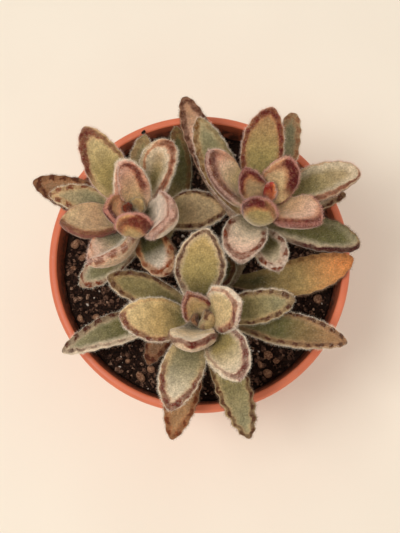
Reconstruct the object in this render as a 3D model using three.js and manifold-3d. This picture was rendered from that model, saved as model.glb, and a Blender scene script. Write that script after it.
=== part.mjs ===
// Panda plant (Kalanchoe tomentosa): three leafy stems growing in gritty soil in one round pot.
// Millimetres, +Z up. The origin is the centre of the pot's flat underside.
import * as THREE from 'three';
import { mergeVertices } from 'three/addons/utils/BufferGeometryUtils.js';
import Module from 'manifold-3d';

const wasm = await Module();
wasm.setup();

// ---- driving dimensions ----

const GAP = 0.3; // clearance between pieces that touch

const POT = {
  height: 112,
  rimRadius: 65, // outside, at the lip
  mouthRadius: 61.4, // inside, at the lip
  collarHeight: 18,
  collarRadius: 63.4, // outside, at the collar's lower edge
  collarStep: 0.6, // fall of the step from the collar in to the wall below it
  neckRadius: 60.6, // outside, just below the collar
  footRadius: 46,
  footBevel: 1.5,
  lipRound: { across: 1.5, down: 2.6, steps: 2 }, // the lip's rounded outer edge
  mouthBevel: 1,
  wall: 2.5,
  floor: 3,
  facets: 48,
  drain: { holes: 6, radius: 4.5, ring: 28, facets: 12 },
};
const SHOULDER = POT.height - POT.collarHeight; // height of the collar's lower edge

const SOIL = {
  top: 101,
  roughness: 0.7,
  rings: 6,
  facets: 32,
  edgeDrop: 1, // fall of the soil's top at the wall
};

// The loose grains that fill up the listed ones, and the room that each leaves round it.
const LOOSE = { count: 20, smallest: 0.9, largest: 1.9, apart: 1, fromStem: 7, fromWall: 4, seed: 11 };

const STEM = { sides: 8, rings: 7, rootDepth: 22, rootTaper: 0.7, topTaper: 0.75, domeHeight: 1.2 };

// A stem runs from foot, at the soil, towards bend, to top, where its youngest leaves are.
const STEMS = {
  left: { foot: [-9.5, 2.5, SOIL.top], bend: [-20, 9, 122], top: [-26, 12, 156], radius: 2.6 },
  right: { foot: [8.5, -13.5, SOIL.top], bend: [19.5, -1.5, 120], top: [25.5, 15, 160], radius: 2.8 },
  front: { foot: [-1.5, -9.5, SOIL.top], bend: [-1, -19.5, 122], top: [1, -31.5, 154], radius: 2.6 },
};

// What a leaf measures where its own line below says nothing else.
//   at     where on the stem it grows: 0 at the soil, 1 at the top
//   az     compass direction in degrees, anticlockwise from +X
//   pitch  slope above the horizontal, half way along
//   curl   how much steeper the tip is than the base
//   swing  how far the tip turns anticlockwise from the base
//   roll   turn about its own length
//   cup    height of the raised margins, as a share of the half width
//   neck   width of the base, as a share of the full width
//   wide   where along its length the leaf is widest
//   blunt  0.5 for a round tip, and more for a pointed one
const LEAF = {
  pitch: 20, curl: -10, swing: 0, roll: 0, cup: 0.3, thick: 5, neck: 0.34, wide: 0.58, blunt: 0.62,
};

// Young leaves stand up round the bud, broad and spoon shaped.
const YOUNG = { thick: 6.4, neck: 0.45, wide: 0.62, blunt: 0.5 };

// The leaves of each stem, from the youngest to the oldest.
const LEAVES = {
  left: [
    { ...YOUNG, at: 0.99, az: 190, pitch: 60, curl: 25, length: 19, width: 12.5, cup: 0.42, thick: 5 },
    { ...YOUNG, at: 0.98, az: -90, pitch: 82, curl: 110, length: 28, width: 14.2, cup: 0.32 },
    { ...YOUNG, at: 0.95, az: -20, pitch: 60, curl: 60, length: 29.5, width: 19, cup: 0.5, thick: 7.5 },
    { at: 0.97, az: 109, pitch: 48, swing: 45, length: 26, width: 14.5, cup: 0.4, neck: 0.62, wide: 0.5,
      blunt: 0.55 },
    { at: 0.93, az: 122, pitch: 25, swing: -14, length: 41, width: 16 },
    { at: 0.93, az: -131, pitch: 26, swing: -92, roll: 50, length: 33, width: 20, cup: 0.6, thick: 8,
      wide: 0.62, blunt: 0.55 },
    { at: 0.9, az: 187, pitch: 18, swing: -30, roll: 25, length: 31.5, width: 16.5, cup: 0.4, thick: 7 },
    { at: 0.9, az: -63, pitch: 15, swing: 13, length: 27, width: 14.5, blunt: 0.4 },
    { at: 0.85, az: 69, pitch: 20, swing: 8, roll: -15, length: 33.5, width: 15, cup: 0.4, wide: 0.68,
      blunt: 0.42 },
    { at: 0.78, az: 164, pitch: 8, swing: 25, length: 39, width: 11.5 },
    { at: 0.7, az: 11, pitch: 5, swing: -25, roll: -15, length: 33, width: 17, cup: 0.35, thick: 6 },
    { at: 0.6, az: 93, pitch: 8, swing: -30, length: 40, width: 11 },
    { at: 0.6, az: -142, pitch: 0, length: 35.5, width: 12.5 },
    { at: 0.55, az: 156.5, pitch: 5, swing: 13, length: 53.5, width: 15 },
    { at: 0.3, az: 84, pitch: 8, swing: 30, length: 51, width: 11 },
  ],
  right: [
    { ...YOUNG, at: 0.98, az: -109, pitch: 87, curl: 98, length: 29, width: 14, cup: 0.32 },
    { ...YOUNG, at: 0.98, az: 128, pitch: 64, swing: -45, length: 24.5, width: 10.5, cup: 0.45 },
    { ...YOUNG, at: 0.98, az: 58, pitch: 52, swing: 45, length: 26, width: 14, cup: 0.4 },
    { at: 0.96, az: -24, pitch: 42, swing: 10, roll: -28, length: 30, width: 16.5, cup: 0.45, thick: 7.5,
      wide: 0.62, blunt: 0.52 },
    { at: 0.95, az: 138, pitch: 38, swing: -80, roll: 38, length: 36, width: 15.5, cup: 0.45, thick: 7,
      wide: 0.6, blunt: 0.42 },
    { at: 0.92, az: 83, pitch: 20, swing: -30, length: 41.5, width: 17 },
    { at: 0.9, az: -110, pitch: 35, swing: 45, length: 27, width: 17, cup: 0.7, thick: 6.4, wide: 0.68,
      blunt: 0.36 },
    { at: 0.85, az: 23, pitch: 12, swing: -25, roll: -22, length: 44.5, width: 16.5, cup: 0.4, thick: 6,
      blunt: 0.5 },
    { at: 0.8, az: -12, pitch: 5, swing: -10, roll: -12, length: 41.5, width: 14.5, blunt: 0.52 },
    { at: 0.8, az: 119, pitch: 18, swing: -25, length: 49, width: 14 },
    { at: 0.8, az: -66, pitch: 25, swing: -10, length: 22.3, width: 13.5, cup: 0.6, thick: 6, wide: 0.62,
      blunt: 0.5 },
    { at: 0.7, az: 71, pitch: 8, swing: 20, length: 53, width: 11.5, blunt: 0.42 },
    { at: 0.68, az: 115, pitch: 6, swing: -12, length: 64, width: 13, blunt: 0.5 },
    { at: 0.6, az: 28, pitch: 0, swing: -50, length: 47, width: 11.5 },
    { at: 0.2, az: 10, pitch: 6, swing: 35, length: 53.5, width: 16 },
  ],
  front: [
    { ...YOUNG, at: 0.99, az: 121, pitch: 60, curl: 20, swing: -10, length: 18.5, width: 11.5, cup: 0.65,
      thick: 5, wide: 0.5, blunt: 0.8 },
    { ...YOUNG, at: 0.98, az: 18, pitch: 57, curl: 10, length: 25, width: 18, cup: 0.32 },
    { ...YOUNG, at: 0.97, az: -108, pitch: 62, curl: 50, roll: 16, length: 26, width: 18, cup: 0.36 },
    { at: 0.94, az: -62, pitch: 38, swing: -40, roll: 15, length: 37.5, width: 17, cup: 0.45, wide: 0.64,
      blunt: 0.48 },
    { at: 0.93, az: 86, pitch: 25, swing: -25, length: 36, width: 19.5, blunt: 0.72 },
    { at: 0.93, az: 180, pitch: 20, swing: -24, length: 33, width: 17.5 },
    { at: 0.92, az: -108, pitch: 20, swing: 6, length: 41, width: 16.5 },
    { at: 0.85, az: 9, pitch: 10, swing: 15, length: 37.5, width: 13.5 },
    { at: 0.8, az: -69, pitch: 3, swing: -11, length: 53, width: 14 },
    { at: 0.75, az: 160, pitch: 8, length: 39, width: 13 },
    { at: 0.7, az: -13, pitch: 2, swing: 9, roll: -18, length: 60.5, width: 15, cup: 0.4 },
    { at: 0.6, az: -161, pitch: 3, swing: 9, roll: 12, length: 58, width: 13, cup: 0.4 },
    { at: 0.5, az: -101, pitch: 0, swing: -7, length: 56.5, width: 14.5 },
    { at: 0.45, az: -128, pitch: -5, swing: 40, length: 33, width: 10 },
    { at: 0.45, az: 51, pitch: 0, length: 22.5, width: 11 },
  ],
};

// The bud at the top of each stem: small leaves that are still one piece with it.
const BUD_LEAF = { at: 1, neck: 0.6, blunt: 0.5 };
const BUDS = {
  left: [
    { ...BUD_LEAF, az: 165, pitch: 74, length: 9, width: 4.5, thick: 2.6 },
    { ...BUD_LEAF, az: 50, pitch: 72, length: 10, width: 6, thick: 2.8 },
  ],
  right: [
    { ...BUD_LEAF, az: 55, pitch: 76, length: 16, width: 6.5, thick: 3 },
    { ...BUD_LEAF, az: 200, pitch: 74, length: 9, width: 4.5, thick: 2.6 },
  ],
  front: [
    { ...BUD_LEAF, az: -22, pitch: 90, curl: 50, length: 10.5, width: 8, thick: 6.5 },
    { ...BUD_LEAF, az: 190, pitch: 74, length: 9, width: 4.5, thick: 2.6 },
  ],
};

// The larger pumice grains that lie in the open soil: x, y and radius.
const GRAINS = [
  [-54.5, 9.5, 2], [-51, 4, 2.5], [-55, -1, 1.5], [-25.5, -49, 2.3], [-21, -45.5, 1.8],
  [-45, -23, 1.8], [-44.5, -28.5, 2.3], [-52, -23.5, 1.5], [-31, -42, 1.5], [30, -39.5, 1.8],
  [26, -43.5, 1.5], [33, -42, 1.8], [29.5, -47.5, 2], [51.5, -15, 2.3], [50.5, -25, 1.5],
];

// ---- small helpers ----

const TURN = 2 * Math.PI;
const radians = THREE.MathUtils.degToRad;
const vector = (place) => new THREE.Vector3(...place);

// A random draw that gives the same numbers every time.
function seeded(seed) {
  let state = seed;
  return () => {
    state = (state * 16807) % 2147483647;
    return state / 2147483647;
  };
}

// A closed skin over rings of points. Each ring runs anticlockwise seen from the end, and a point
// closes each end. The second half of every ring is split the mirrored way, so both faces of a leaf
// are cut alike.
function loft(rings, start, end) {
  const sides = rings[0].length;
  const points = [...rings.flat(), start, end];
  const startIndex = points.length - 2;
  const endIndex = points.length - 1;
  const lastRing = (rings.length - 1) * sides;
  const index = [];
  for (let s = 0; s < sides; s += 1) {
    const next = (s + 1) % sides;
    for (let row = 0; row < lastRing; row += sides) {
      const [a, b, c, d] = [row + s, row + next, row + sides + next, row + sides + s];
      if (s < sides / 2) index.push(a, b, c, a, c, d);
      else index.push(a, b, d, b, c, d);
    }
    index.push(startIndex, next, s, endIndex, lastRing + s, lastRing + next);
  }
  const geometry = new THREE.BufferGeometry().setFromPoints(points);
  geometry.setIndex(index);
  return geometry;
}

// A geometry as a solid that can be joined and cut.
function solid(geometry) {
  const bare = geometry.clone();
  bare.deleteAttribute('normal');
  bare.deleteAttribute('uv');
  const merged = mergeVertices(bare);
  const corners = merged.index.array;
  const triVerts = [];
  for (let i = 0; i < corners.length; i += 3) {
    const [a, b, c] = corners.slice(i, i + 3);
    if (a !== b && b !== c && c !== a) triVerts.push(a, b, c);
  }
  return new wasm.Manifold(new wasm.Mesh({
    numProp: 3,
    vertProperties: merged.attributes.position.array,
    triVerts: new Uint32Array(triVerts),
  }));
}

// A solid back as a geometry.
function geometryOf(body) {
  const { vertProperties, triVerts } = body.getMesh();
  const geometry = new THREE.BufferGeometry();
  geometry.setAttribute('position', new THREE.BufferAttribute(vertProperties, 3));
  geometry.setIndex(new THREE.BufferAttribute(triVerts, 1));
  geometry.computeVertexNormals();
  return geometry;
}

// The largest piece of a solid, without the loose scraps that a cut can leave.
function largest(body) {
  return body.decompose().reduce((best, piece) => (piece.volume() > best.volume() ? piece : best));
}

// A solid with its neighbours cut out of it.
function cutBy(body, neighbours) {
  return largest(neighbours.reduce((left, other) => left.subtract(other), body));
}

// ---- stems ----

function stemCurve(stem) {
  return new THREE.QuadraticBezierCurve3(vector(stem.foot), vector(stem.bend), vector(stem.top));
}

// A ring of points round a stem, anticlockwise seen from its top.
function stemRing(centre, direction, radius) {
  const side = new THREE.Vector3(1, 0, 0).cross(direction).normalize();
  const front = side.clone().cross(direction).normalize();
  return Array.from({ length: STEM.sides }, (_, k) => {
    const angle = (-k / STEM.sides) * TURN;
    return centre.clone()
      .addScaledVector(side, Math.cos(angle) * radius)
      .addScaledVector(front, Math.sin(angle) * radius);
  });
}

// A stem thins towards its top, and its root goes straight down into the soil.
function stemGeometry(stem, grow = 0) {
  const curve = stemCurve(stem);
  const up = new THREE.Vector3(0, 0, 1);
  const below = (depth) => vector(stem.foot).addScaledVector(up, -depth);
  const rootEnd = below(STEM.rootDepth + grow);
  const rings = [
    stemRing(rootEnd, up, stem.radius * STEM.rootTaper + grow),
    stemRing(below(STEM.rootDepth / 3), up, stem.radius + grow),
  ];
  for (let k = 0; k <= STEM.rings; k += 1) {
    const t = k / STEM.rings;
    const radius = stem.radius * THREE.MathUtils.lerp(1, STEM.topTaper, t) + grow;
    rings.push(stemRing(curve.getPoint(t), curve.getTangent(t), radius));
  }
  const tip = curve.getPoint(1).addScaledVector(curve.getTangent(1), STEM.domeHeight + grow);
  return loft(rings, rootEnd, tip);
}

// ---- leaves ----

// Round a leaf's section: across is 1 at the left margin, and lift is 1 in the middle of the upper face.
const SECTION_POINTS = 8;
const SECTION = Array.from({ length: SECTION_POINTS }, (_, k) => {
  const angle = (k / SECTION_POINTS) * TURN;
  const lift = Math.sin(angle);
  return { across: Math.cos(angle), lift: Math.sign(lift) * Math.abs(lift) ** 0.8 };
});

const SEAT = 0.6; // where a leaf starts, as a share of the stem's radius
const MIDLINE_STEPS = 80;
const LEAF_BASE = { rings: 2, share: 0.42 }; // the plain part of a leaf, below its notched margin

// The notches: their spacing and depth, the share of a leaf's length that they take up, how they
// crowd towards its tip, and the fewest on a side.
const TOOTH = { pitch: 5, depth: 0.8, zone: 0.55, crowding: 1.25, fewest: 2 };

// Width of a leaf at share u of its length, as a share of its full width.
function outline({ neck, wide, blunt }, u) {
  if (u < wide) {
    return neck + (1 - neck) * (0.5 - 0.5 * Math.cos(Math.PI * (u / wide) ** 0.85));
  }
  return Math.max(0, 1 - ((u - wide) / (1 - wide)) ** 2) ** blunt;
}

// The stations along a leaf, each with the sideways step that its notched margin takes there.
function stations(length) {
  const list = [];
  for (let k = 0; k < LEAF_BASE.rings; k += 1) {
    list.push({ u: (k / LEAF_BASE.rings) * LEAF_BASE.share, step: 0 });
  }
  list.push({ u: LEAF_BASE.share, step: 0 });
  const steps = 2 * Math.max(TOOTH.fewest, Math.round((length * TOOTH.zone) / TOOTH.pitch));
  for (let k = 1; k <= steps; k += 1) {
    const along = 1 - (1 - k / (steps + 1)) ** TOOTH.crowding;
    list.push({
      u: LEAF_BASE.share + (1 - LEAF_BASE.share) * along,
      step: (k % 2 === 0 ? -TOOTH.depth : TOOTH.depth) / 2,
    });
  }
  return list;
}

// A leaf's direction at share u of its length, with the directions of its left side and its upper face.
function leafFrame(leaf, u) {
  const az = radians(leaf.az + leaf.swing * (u - 0.5));
  const slope = radians(leaf.pitch + leaf.curl * (u - 0.5));
  const along = new THREE.Vector3(
    Math.cos(az) * Math.cos(slope),
    Math.sin(az) * Math.cos(slope),
    Math.sin(slope),
  );
  const left = new THREE.Vector3(-Math.sin(az), Math.cos(az), 0);
  const up = along.clone().cross(left);
  const roll = radians(leaf.roll);
  return {
    along,
    left: left.clone().multiplyScalar(Math.cos(roll)).addScaledVector(up, Math.sin(roll)),
    up: up.clone().multiplyScalar(Math.cos(roll)).addScaledVector(left, -Math.sin(roll)),
  };
}

// A leaf's middle line, from its seat just inside the stem's skin.
function midline(stem, leaf) {
  const az = radians(leaf.az);
  const reach = stem.radius * SEAT;
  const place = stemCurve(stem).getPoint(leaf.at);
  place.add(new THREE.Vector3(Math.cos(az) * reach, Math.sin(az) * reach, 0));
  const points = [place.clone()];
  for (let k = 0; k < MIDLINE_STEPS; k += 1) {
    const { along } = leafFrame(leaf, (k + 0.5) / MIDLINE_STEPS);
    place.addScaledVector(along, leaf.length / MIDLINE_STEPS);
    points.push(place.clone());
  }
  return new THREE.CatmullRomCurve3(points);
}

// A leaf, fleshy in the middle and thin at its margins, which rise where it is cupped.
function leafGeometry(stem, settings, grow = 0) {
  const leaf = { ...LEAF, ...settings };
  const middle = midline(stem, leaf);
  const rings = stations(leaf.length).map(({ u, step }) => {
    const centre = middle.getPoint(u);
    const { left, up } = leafFrame(leaf, u);
    const share = outline(leaf, u);
    const halfWidth = (leaf.width / 2) * share;
    const halfThick = (leaf.thick / 2) * share ** 0.6 * (0.85 + 0.15 * Math.sin(Math.PI * u));
    return SECTION.map(({ across, lift }) => {
      const margin = Math.abs(across) > 0.99 ? step : 0;
      const sideways = across * (halfWidth + margin + grow);
      const upwards = lift * (halfThick + grow) + leaf.cup * halfWidth * Math.abs(across) ** 1.7;
      return centre.clone().addScaledVector(left, sideways).addScaledVector(up, upwards);
    });
  });
  const tip = middle.getPoint(1).addScaledVector(leafFrame(leaf, 1).along, grow);
  const seat = middle.getPoint(0).addScaledVector(leafFrame(leaf, 0).along, -grow);
  return loft(rings, seat, tip);
}

// ---- pot ----

// The pot's section, from the middle of its foot, up the outside, over the lip and down the inside.
function potProfile() {
  const { across, down, steps } = POT.lipRound;
  const lip = Array.from({ length: steps + 1 }, (_, k) => {
    const angle = (k / steps) * (Math.PI / 2);
    return [
      POT.rimRadius - across * (1 - Math.cos(angle)),
      POT.height - down * (1 - Math.sin(angle)),
    ];
  });
  return [
    [0, 0],
    [POT.footRadius - POT.footBevel, 0],
    [POT.footRadius, POT.footBevel],
    [POT.neckRadius, SHOULDER - POT.collarStep],
    [POT.collarRadius, SHOULDER],
    ...lip,
    [POT.mouthRadius + POT.mouthBevel, POT.height],
    [POT.mouthRadius, POT.height - POT.mouthBevel],
    [POT.neckRadius - POT.wall, SHOULDER],
    [POT.footRadius - POT.wall, POT.floor],
    [0, POT.floor],
  ].map(([radius, z]) => new THREE.Vector2(radius, z));
}

function potSolid() {
  const { holes, radius, ring, facets } = POT.drain;
  const hole = new THREE.CylinderGeometry(radius, radius, 3 * POT.floor, facets);
  const drain = solid(hole.rotateX(Math.PI / 2));
  let pot = solid(new THREE.LatheGeometry(potProfile(), POT.facets).rotateX(Math.PI / 2));
  for (let k = 0; k < holes; k += 1) {
    const angle = (k / holes) * TURN;
    pot = pot.subtract(drain.translate([Math.cos(angle) * ring, Math.sin(angle) * ring, 0]));
  }
  return pot;
}

// Inner radius of the pot at height z, below its shoulder and along its collar.
function potInside(z) {
  const { lerp, inverseLerp } = THREE.MathUtils;
  const neck = POT.neckRadius - POT.wall;
  if (z < SHOULDER) {
    return lerp(POT.footRadius - POT.wall, neck, inverseLerp(POT.floor, SHOULDER, z));
  }
  return lerp(neck, POT.mouthRadius, inverseLerp(SHOULDER, POT.height - POT.mouthBevel, z));
}

// ---- soil ----

// Height of the soil's uneven top, above or below its mean.
function soilWave(x, y) {
  const broad = Math.sin(0.16 * x + 1.7) * Math.cos(0.14 * y - 0.6);
  const fine = Math.sin(0.43 * x - 0.4) * Math.cos(0.39 * y + 2.1);
  return SOIL.roughness * (broad + 0.7 * fine);
}

function soilSolid() {
  const ring = (radius, z, wave) => Array.from({ length: SOIL.facets }, (_, k) => {
    const angle = (k / SOIL.facets) * TURN;
    const [x, y] = [Math.cos(angle) * radius, Math.sin(angle) * radius];
    return new THREE.Vector3(x, y, z + wave * soilWave(x, y));
  });
  // The soil's facets lie inside the pot's, which are chords of its round wall.
  const inset = (z) => potInside(z) * Math.cos(Math.PI / POT.facets) - GAP;
  const bottom = POT.floor + GAP;
  const edge = inset(SOIL.top);
  const rings = [
    ring(inset(bottom), bottom, 0),
    ring(inset(SHOULDER), SHOULDER, 0),
    ring(edge, SOIL.top - SOIL.edgeDrop, 0),
  ];
  for (let k = 1; k < SOIL.rings; k += 1) rings.push(ring(edge * (1 - k / SOIL.rings), SOIL.top, 1));
  const middle = new THREE.Vector3(0, 0, SOIL.top + soilWave(0, 0));
  return solid(loft(rings, new THREE.Vector3(0, 0, bottom), middle));
}

// A pumice grain, a little flattened, which lies nearly half sunk in the soil.
function grainSolid(x, y, radius, draw) {
  const grain = new THREE.IcosahedronGeometry(radius, 0);
  grain.rotateX(draw() * TURN).rotateZ(draw() * TURN);
  grain.scale(1, 0.85 + 0.3 * draw(), 0.8);
  grain.translate(x, y, SOIL.top + soilWave(x, y) + radius * 0.15);
  return solid(grain);
}

// The listed grains, and loose ones wherever there is room for them.
function grainSolids() {
  const draw = seeded(LOOSE.seed);
  const placed = [...GRAINS];
  const feet = Object.values(STEMS).map((stem) => [...stem.foot.slice(0, 2), LOOSE.fromStem]);
  const reach = potInside(SOIL.top) - LOOSE.fromWall;
  while (placed.length < GRAINS.length + LOOSE.count) {
    const distance = reach * Math.sqrt(draw());
    const angle = draw() * TURN;
    const [x, y] = [Math.cos(angle) * distance, Math.sin(angle) * distance];
    const radius = THREE.MathUtils.lerp(LOOSE.smallest, LOOSE.largest, draw());
    const crowded = [...feet, ...placed].some(([otherX, otherY, otherRadius]) => (
      Math.hypot(otherX - x, otherY - y) < otherRadius + radius + LOOSE.apart
    ));
    if (!crowded) placed.push([x, y, radius]);
  }
  return placed.map(([x, y, radius]) => grainSolid(x, y, radius, draw));
}

// ---- the plant in its pot ----

const CLAY = new THREE.MeshStandardMaterial({ color: 0xd2704f, roughness: 0.55 });
const EARTH = new THREE.MeshStandardMaterial({ color: 0x2a201a, roughness: 0.95 });
const STEM_GREEN = new THREE.MeshStandardMaterial({ color: 0x8f9068, roughness: 0.85 });
const FELT_GREEN = new THREE.MeshStandardMaterial({ color: 0x9c9562, roughness: 0.9 });

const plant = new THREE.Group();

function addPiece(name, body, material) {
  const mesh = new THREE.Mesh(geometryOf(body), material);
  mesh.name = name;
  plant.add(mesh);
}

addPiece('pot', potSolid(), CLAY);

const stemRoom = Object.values(STEMS).map((stem) => solid(stemGeometry(stem, GAP)));
const ground = grainSolids().reduce((body, grain) => body.add(grain), soilSolid());
addPiece('soil', cutBy(ground, stemRoom), EARTH);

// Each leaf gives way to the stems and to the younger leaves, with the gap kept between them.
const keptClear = [...stemRoom];
for (const [side, stem] of Object.entries(STEMS)) {
  const budLeaves = BUDS[side].map((leaf) => solid(leafGeometry(stem, leaf)));
  const budded = budLeaves.reduce((body, leaf) => body.add(leaf), solid(stemGeometry(stem)));
  addPiece(`stem_${side}`, budded, STEM_GREEN);
  keptClear.push(...BUDS[side].map((leaf) => solid(leafGeometry(stem, leaf, GAP))));
}
for (const [side, stem] of Object.entries(STEMS)) {
  LEAVES[side].forEach((leaf, number) => {
    const name = `leaf_${side}_${String(number + 1).padStart(2, '0')}`;
    addPiece(name, cutBy(solid(leafGeometry(stem, leaf)), keptClear), FELT_GREEN);
    keptClear.push(solid(leafGeometry(stem, leaf, GAP)));
  });
}

export default plant;
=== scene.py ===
"""A panda plant in its pot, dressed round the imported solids: felted leaves, stems, gritty soil and the pot.

Sizes in the tables and in the shape functions are millimetres in the part's frame, +Z up, with the origin
under the middle of the pot. MM turns them into metres where a mesh, the camera or a light is made.
"""
import math
from functools import partial, partialmethod

import bmesh
import bpy
import numpy as np
from mathutils import Matrix, Vector


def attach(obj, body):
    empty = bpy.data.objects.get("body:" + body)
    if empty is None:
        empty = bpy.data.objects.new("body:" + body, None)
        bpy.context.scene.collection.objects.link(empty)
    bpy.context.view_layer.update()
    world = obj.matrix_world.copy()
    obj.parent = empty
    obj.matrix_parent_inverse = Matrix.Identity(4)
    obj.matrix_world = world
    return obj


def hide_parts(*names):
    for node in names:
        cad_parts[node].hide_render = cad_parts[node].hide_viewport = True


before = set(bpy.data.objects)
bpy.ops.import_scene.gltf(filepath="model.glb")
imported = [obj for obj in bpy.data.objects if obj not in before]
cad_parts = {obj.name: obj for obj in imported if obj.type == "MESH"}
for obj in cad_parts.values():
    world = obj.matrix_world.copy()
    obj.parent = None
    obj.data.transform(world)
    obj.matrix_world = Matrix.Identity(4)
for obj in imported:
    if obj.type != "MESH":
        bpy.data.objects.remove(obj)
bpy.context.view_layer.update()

MM = 0.001

# ---- the pot and the soil, as in the part's source ----

# rim, mouth, collar, neck and foot are radii. collar_edge is the rounding of the collar's lower edge.
POT = dict(
    height=112, rim=65, mouth=61.4, collar_height=18, collar=63.4, collar_step=0.6, collar_edge=(0.3, 0.4),
    neck=60.6, foot=46, foot_bevel=1.5, bevel_middle=0.45, wall=2.5, floor=3, facets=192, outer_steps=10,
    inner_steps=8,
)
LIP = dict(across=1.5, down=2.6, mouth_bevel=1.0, steps=6)
DRAIN = dict(holes=6, radius=4.5, ring=28, facets=32)
SHOULDER = POT["height"] - POT["collar_height"]
# sunk is how far the bed lies under the crumbs that cover it, and lumps how uneven it is.
SOIL = dict(top=101, roughness=0.7, gap=0.3, sunk=0.6, lumps=0.35, rings=44, facets=144)

# ---- the plant, as in the part's source ----

# A stem runs from foot, at the soil, towards bend, to top, where its youngest leaves are.
STEMS = dict(
    left=dict(foot=(-9.5, 2.5, 101), bend=(-20, 9, 122), top=(-26, 12, 156), radius=2.6),
    right=dict(foot=(8.5, -13.5, 101), bend=(19.5, -1.5, 120), top=(25.5, 15, 160), radius=2.8),
    front=dict(foot=(-1.5, -9.5, 101), bend=(-1, -19.5, 122), top=(1, -31.5, 154), radius=2.6),
)
STEM = dict(
    sides=24, rings=60, root_rings=8, root_top=1.5, root_depth=22, root_taper=0.7, top_taper=0.75, dome=1.2,
)

# What a leaf measures where its row says nothing else. curl is how far it turns up along its length, roll
# its turn about its own length, cup how far the margins rise, neck and wide its outline, and blunt its tip.
LEAF = dict(curl=-10, roll=0, cup=0.3, thick=5, neck=0.34, wide=0.58, blunt=0.62)


def mature(at, az, pitch, length, width, swing=0, **rest):
    """A leaf: its place on the stem, heading, slope, length, width and turn sideways, and the rest."""
    return LEAF | dict(at=at, az=az, pitch=pitch, length=length, width=width, swing=swing) | rest


young = partial(mature, thick=6.4, neck=0.45, wide=0.62, blunt=0.5)
bud = partial(mature, neck=0.6, blunt=0.5)

OPEN_LEAVES = 15  # on each stem. The two buds after them are one with the stem's own node.
LEAVES = {}
LEAVES["left"] = [
    young(0.99, 190, 60, 19, 12.5, curl=25, cup=0.42, thick=5),
    young(0.98, -90, 82, 28, 14.2, curl=110, cup=0.32),
    young(0.95, -20, 60, 29.5, 19, curl=60, cup=0.5, thick=7.5),
    mature(0.97, 109, 48, 26, 14.5, 45, cup=0.4, neck=0.62, wide=0.5, blunt=0.55),
    mature(0.93, 122, 25, 41, 16, -14),
    mature(0.93, -131, 26, 33, 20, -92, roll=50, cup=0.6, thick=8, wide=0.62, blunt=0.55),
    mature(0.9, 187, 18, 31.5, 16.5, -30, roll=25, cup=0.4, thick=7),
    mature(0.9, -63, 15, 27, 14.5, 13, blunt=0.4),
    mature(0.85, 69, 20, 33.5, 15, 8, roll=-15, cup=0.4, wide=0.68, blunt=0.42),
    mature(0.78, 164, 8, 39, 11.5, 25),
    mature(0.7, 11, 5, 33, 17, -25, roll=-15, cup=0.35, thick=6),
    mature(0.6, 93, 8, 40, 11, -30),
    mature(0.6, -142, 0, 35.5, 12.5),
    mature(0.55, 156.5, 5, 53.5, 15, 13),
    mature(0.3, 84, 8, 51, 11, 30),
    bud(1, 165, 74, 9, 4.5, thick=2.6),
    bud(1, 50, 72, 10, 6, thick=2.8),
]
LEAVES["right"] = [
    young(0.98, -109, 87, 29, 14, curl=98, cup=0.32),
    young(0.98, 128, 64, 24.5, 10.5, -45, cup=0.45),
    young(0.98, 58, 52, 26, 14, 45, cup=0.4),
    mature(0.96, -24, 42, 30, 16.5, 10, roll=-28, cup=0.45, thick=7.5, wide=0.62, blunt=0.52),
    mature(0.95, 138, 38, 36, 15.5, -80, roll=38, cup=0.45, thick=7, wide=0.6, blunt=0.42),
    mature(0.92, 83, 20, 41.5, 17, -30),
    mature(0.9, -110, 35, 27, 17, 45, cup=0.7, thick=6.4, wide=0.68, blunt=0.36),
    mature(0.85, 23, 12, 44.5, 16.5, -25, roll=-22, cup=0.4, thick=6, blunt=0.5),
    mature(0.8, -12, 5, 41.5, 14.5, -10, roll=-12, blunt=0.52),
    mature(0.8, 119, 18, 49, 14, -25),
    mature(0.8, -66, 25, 22.3, 13.5, -10, cup=0.6, thick=6, wide=0.62, blunt=0.5),
    mature(0.7, 71, 8, 53, 11.5, 20, blunt=0.42),
    mature(0.68, 115, 6, 64, 13, -12, blunt=0.5),
    mature(0.6, 28, 0, 47, 11.5, -50),
    mature(0.2, 10, 6, 53.5, 16, 35),
    bud(1, 55, 76, 16, 6.5, thick=3),
    bud(1, 200, 74, 9, 4.5, thick=2.6),
]
LEAVES["front"] = [
    young(0.99, 121, 60, 18.5, 11.5, -10, curl=20, cup=0.65, thick=5, wide=0.5, blunt=0.8),
    young(0.98, 18, 57, 25, 18, curl=10, cup=0.32),
    young(0.97, -108, 62, 26, 18, curl=50, roll=16, cup=0.36),
    mature(0.94, -62, 38, 37.5, 17, -40, roll=15, cup=0.45, wide=0.64, blunt=0.48),
    mature(0.93, 86, 25, 36, 19.5, -25, blunt=0.72),
    mature(0.93, 180, 20, 33, 17.5, -24),
    mature(0.92, -108, 20, 41, 16.5, 6),
    mature(0.85, 9, 10, 37.5, 13.5, 15),
    mature(0.8, -69, 3, 53, 14, -11),
    mature(0.75, 160, 8, 39, 13),
    mature(0.7, -13, 2, 60.5, 15, 9, roll=-18, cup=0.4),
    mature(0.6, -161, 3, 58, 13, 9, roll=12, cup=0.4),
    mature(0.5, -101, 0, 56.5, 14.5, -7),
    mature(0.45, -128, -5, 33, 10, 40),
    mature(0.45, 51, 0, 22.5, 11),
    bud(1, -22, 90, 10.5, 8, curl=50, thick=6.5),
    bud(1, 190, 74, 9, 4.5, thick=2.6),
]

# The larger pumice grains of the open soil: x, y and radius.
GRAINS = [
    (-54.5, 9.5, 2), (-51, 4, 2.5), (-55, -1, 1.5), (-25.5, -49, 2.3), (-21, -45.5, 1.8),
    (-45, -23, 1.8), (-44.5, -28.5, 2.3), (-52, -23.5, 1.5), (-31, -42, 1.5), (30, -39.5, 1.8),
    (26, -43.5, 1.5), (33, -42, 1.8), (29.5, -47.5, 2), (51.5, -15, 2.3), (50.5, -25, 1.5),
]

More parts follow.
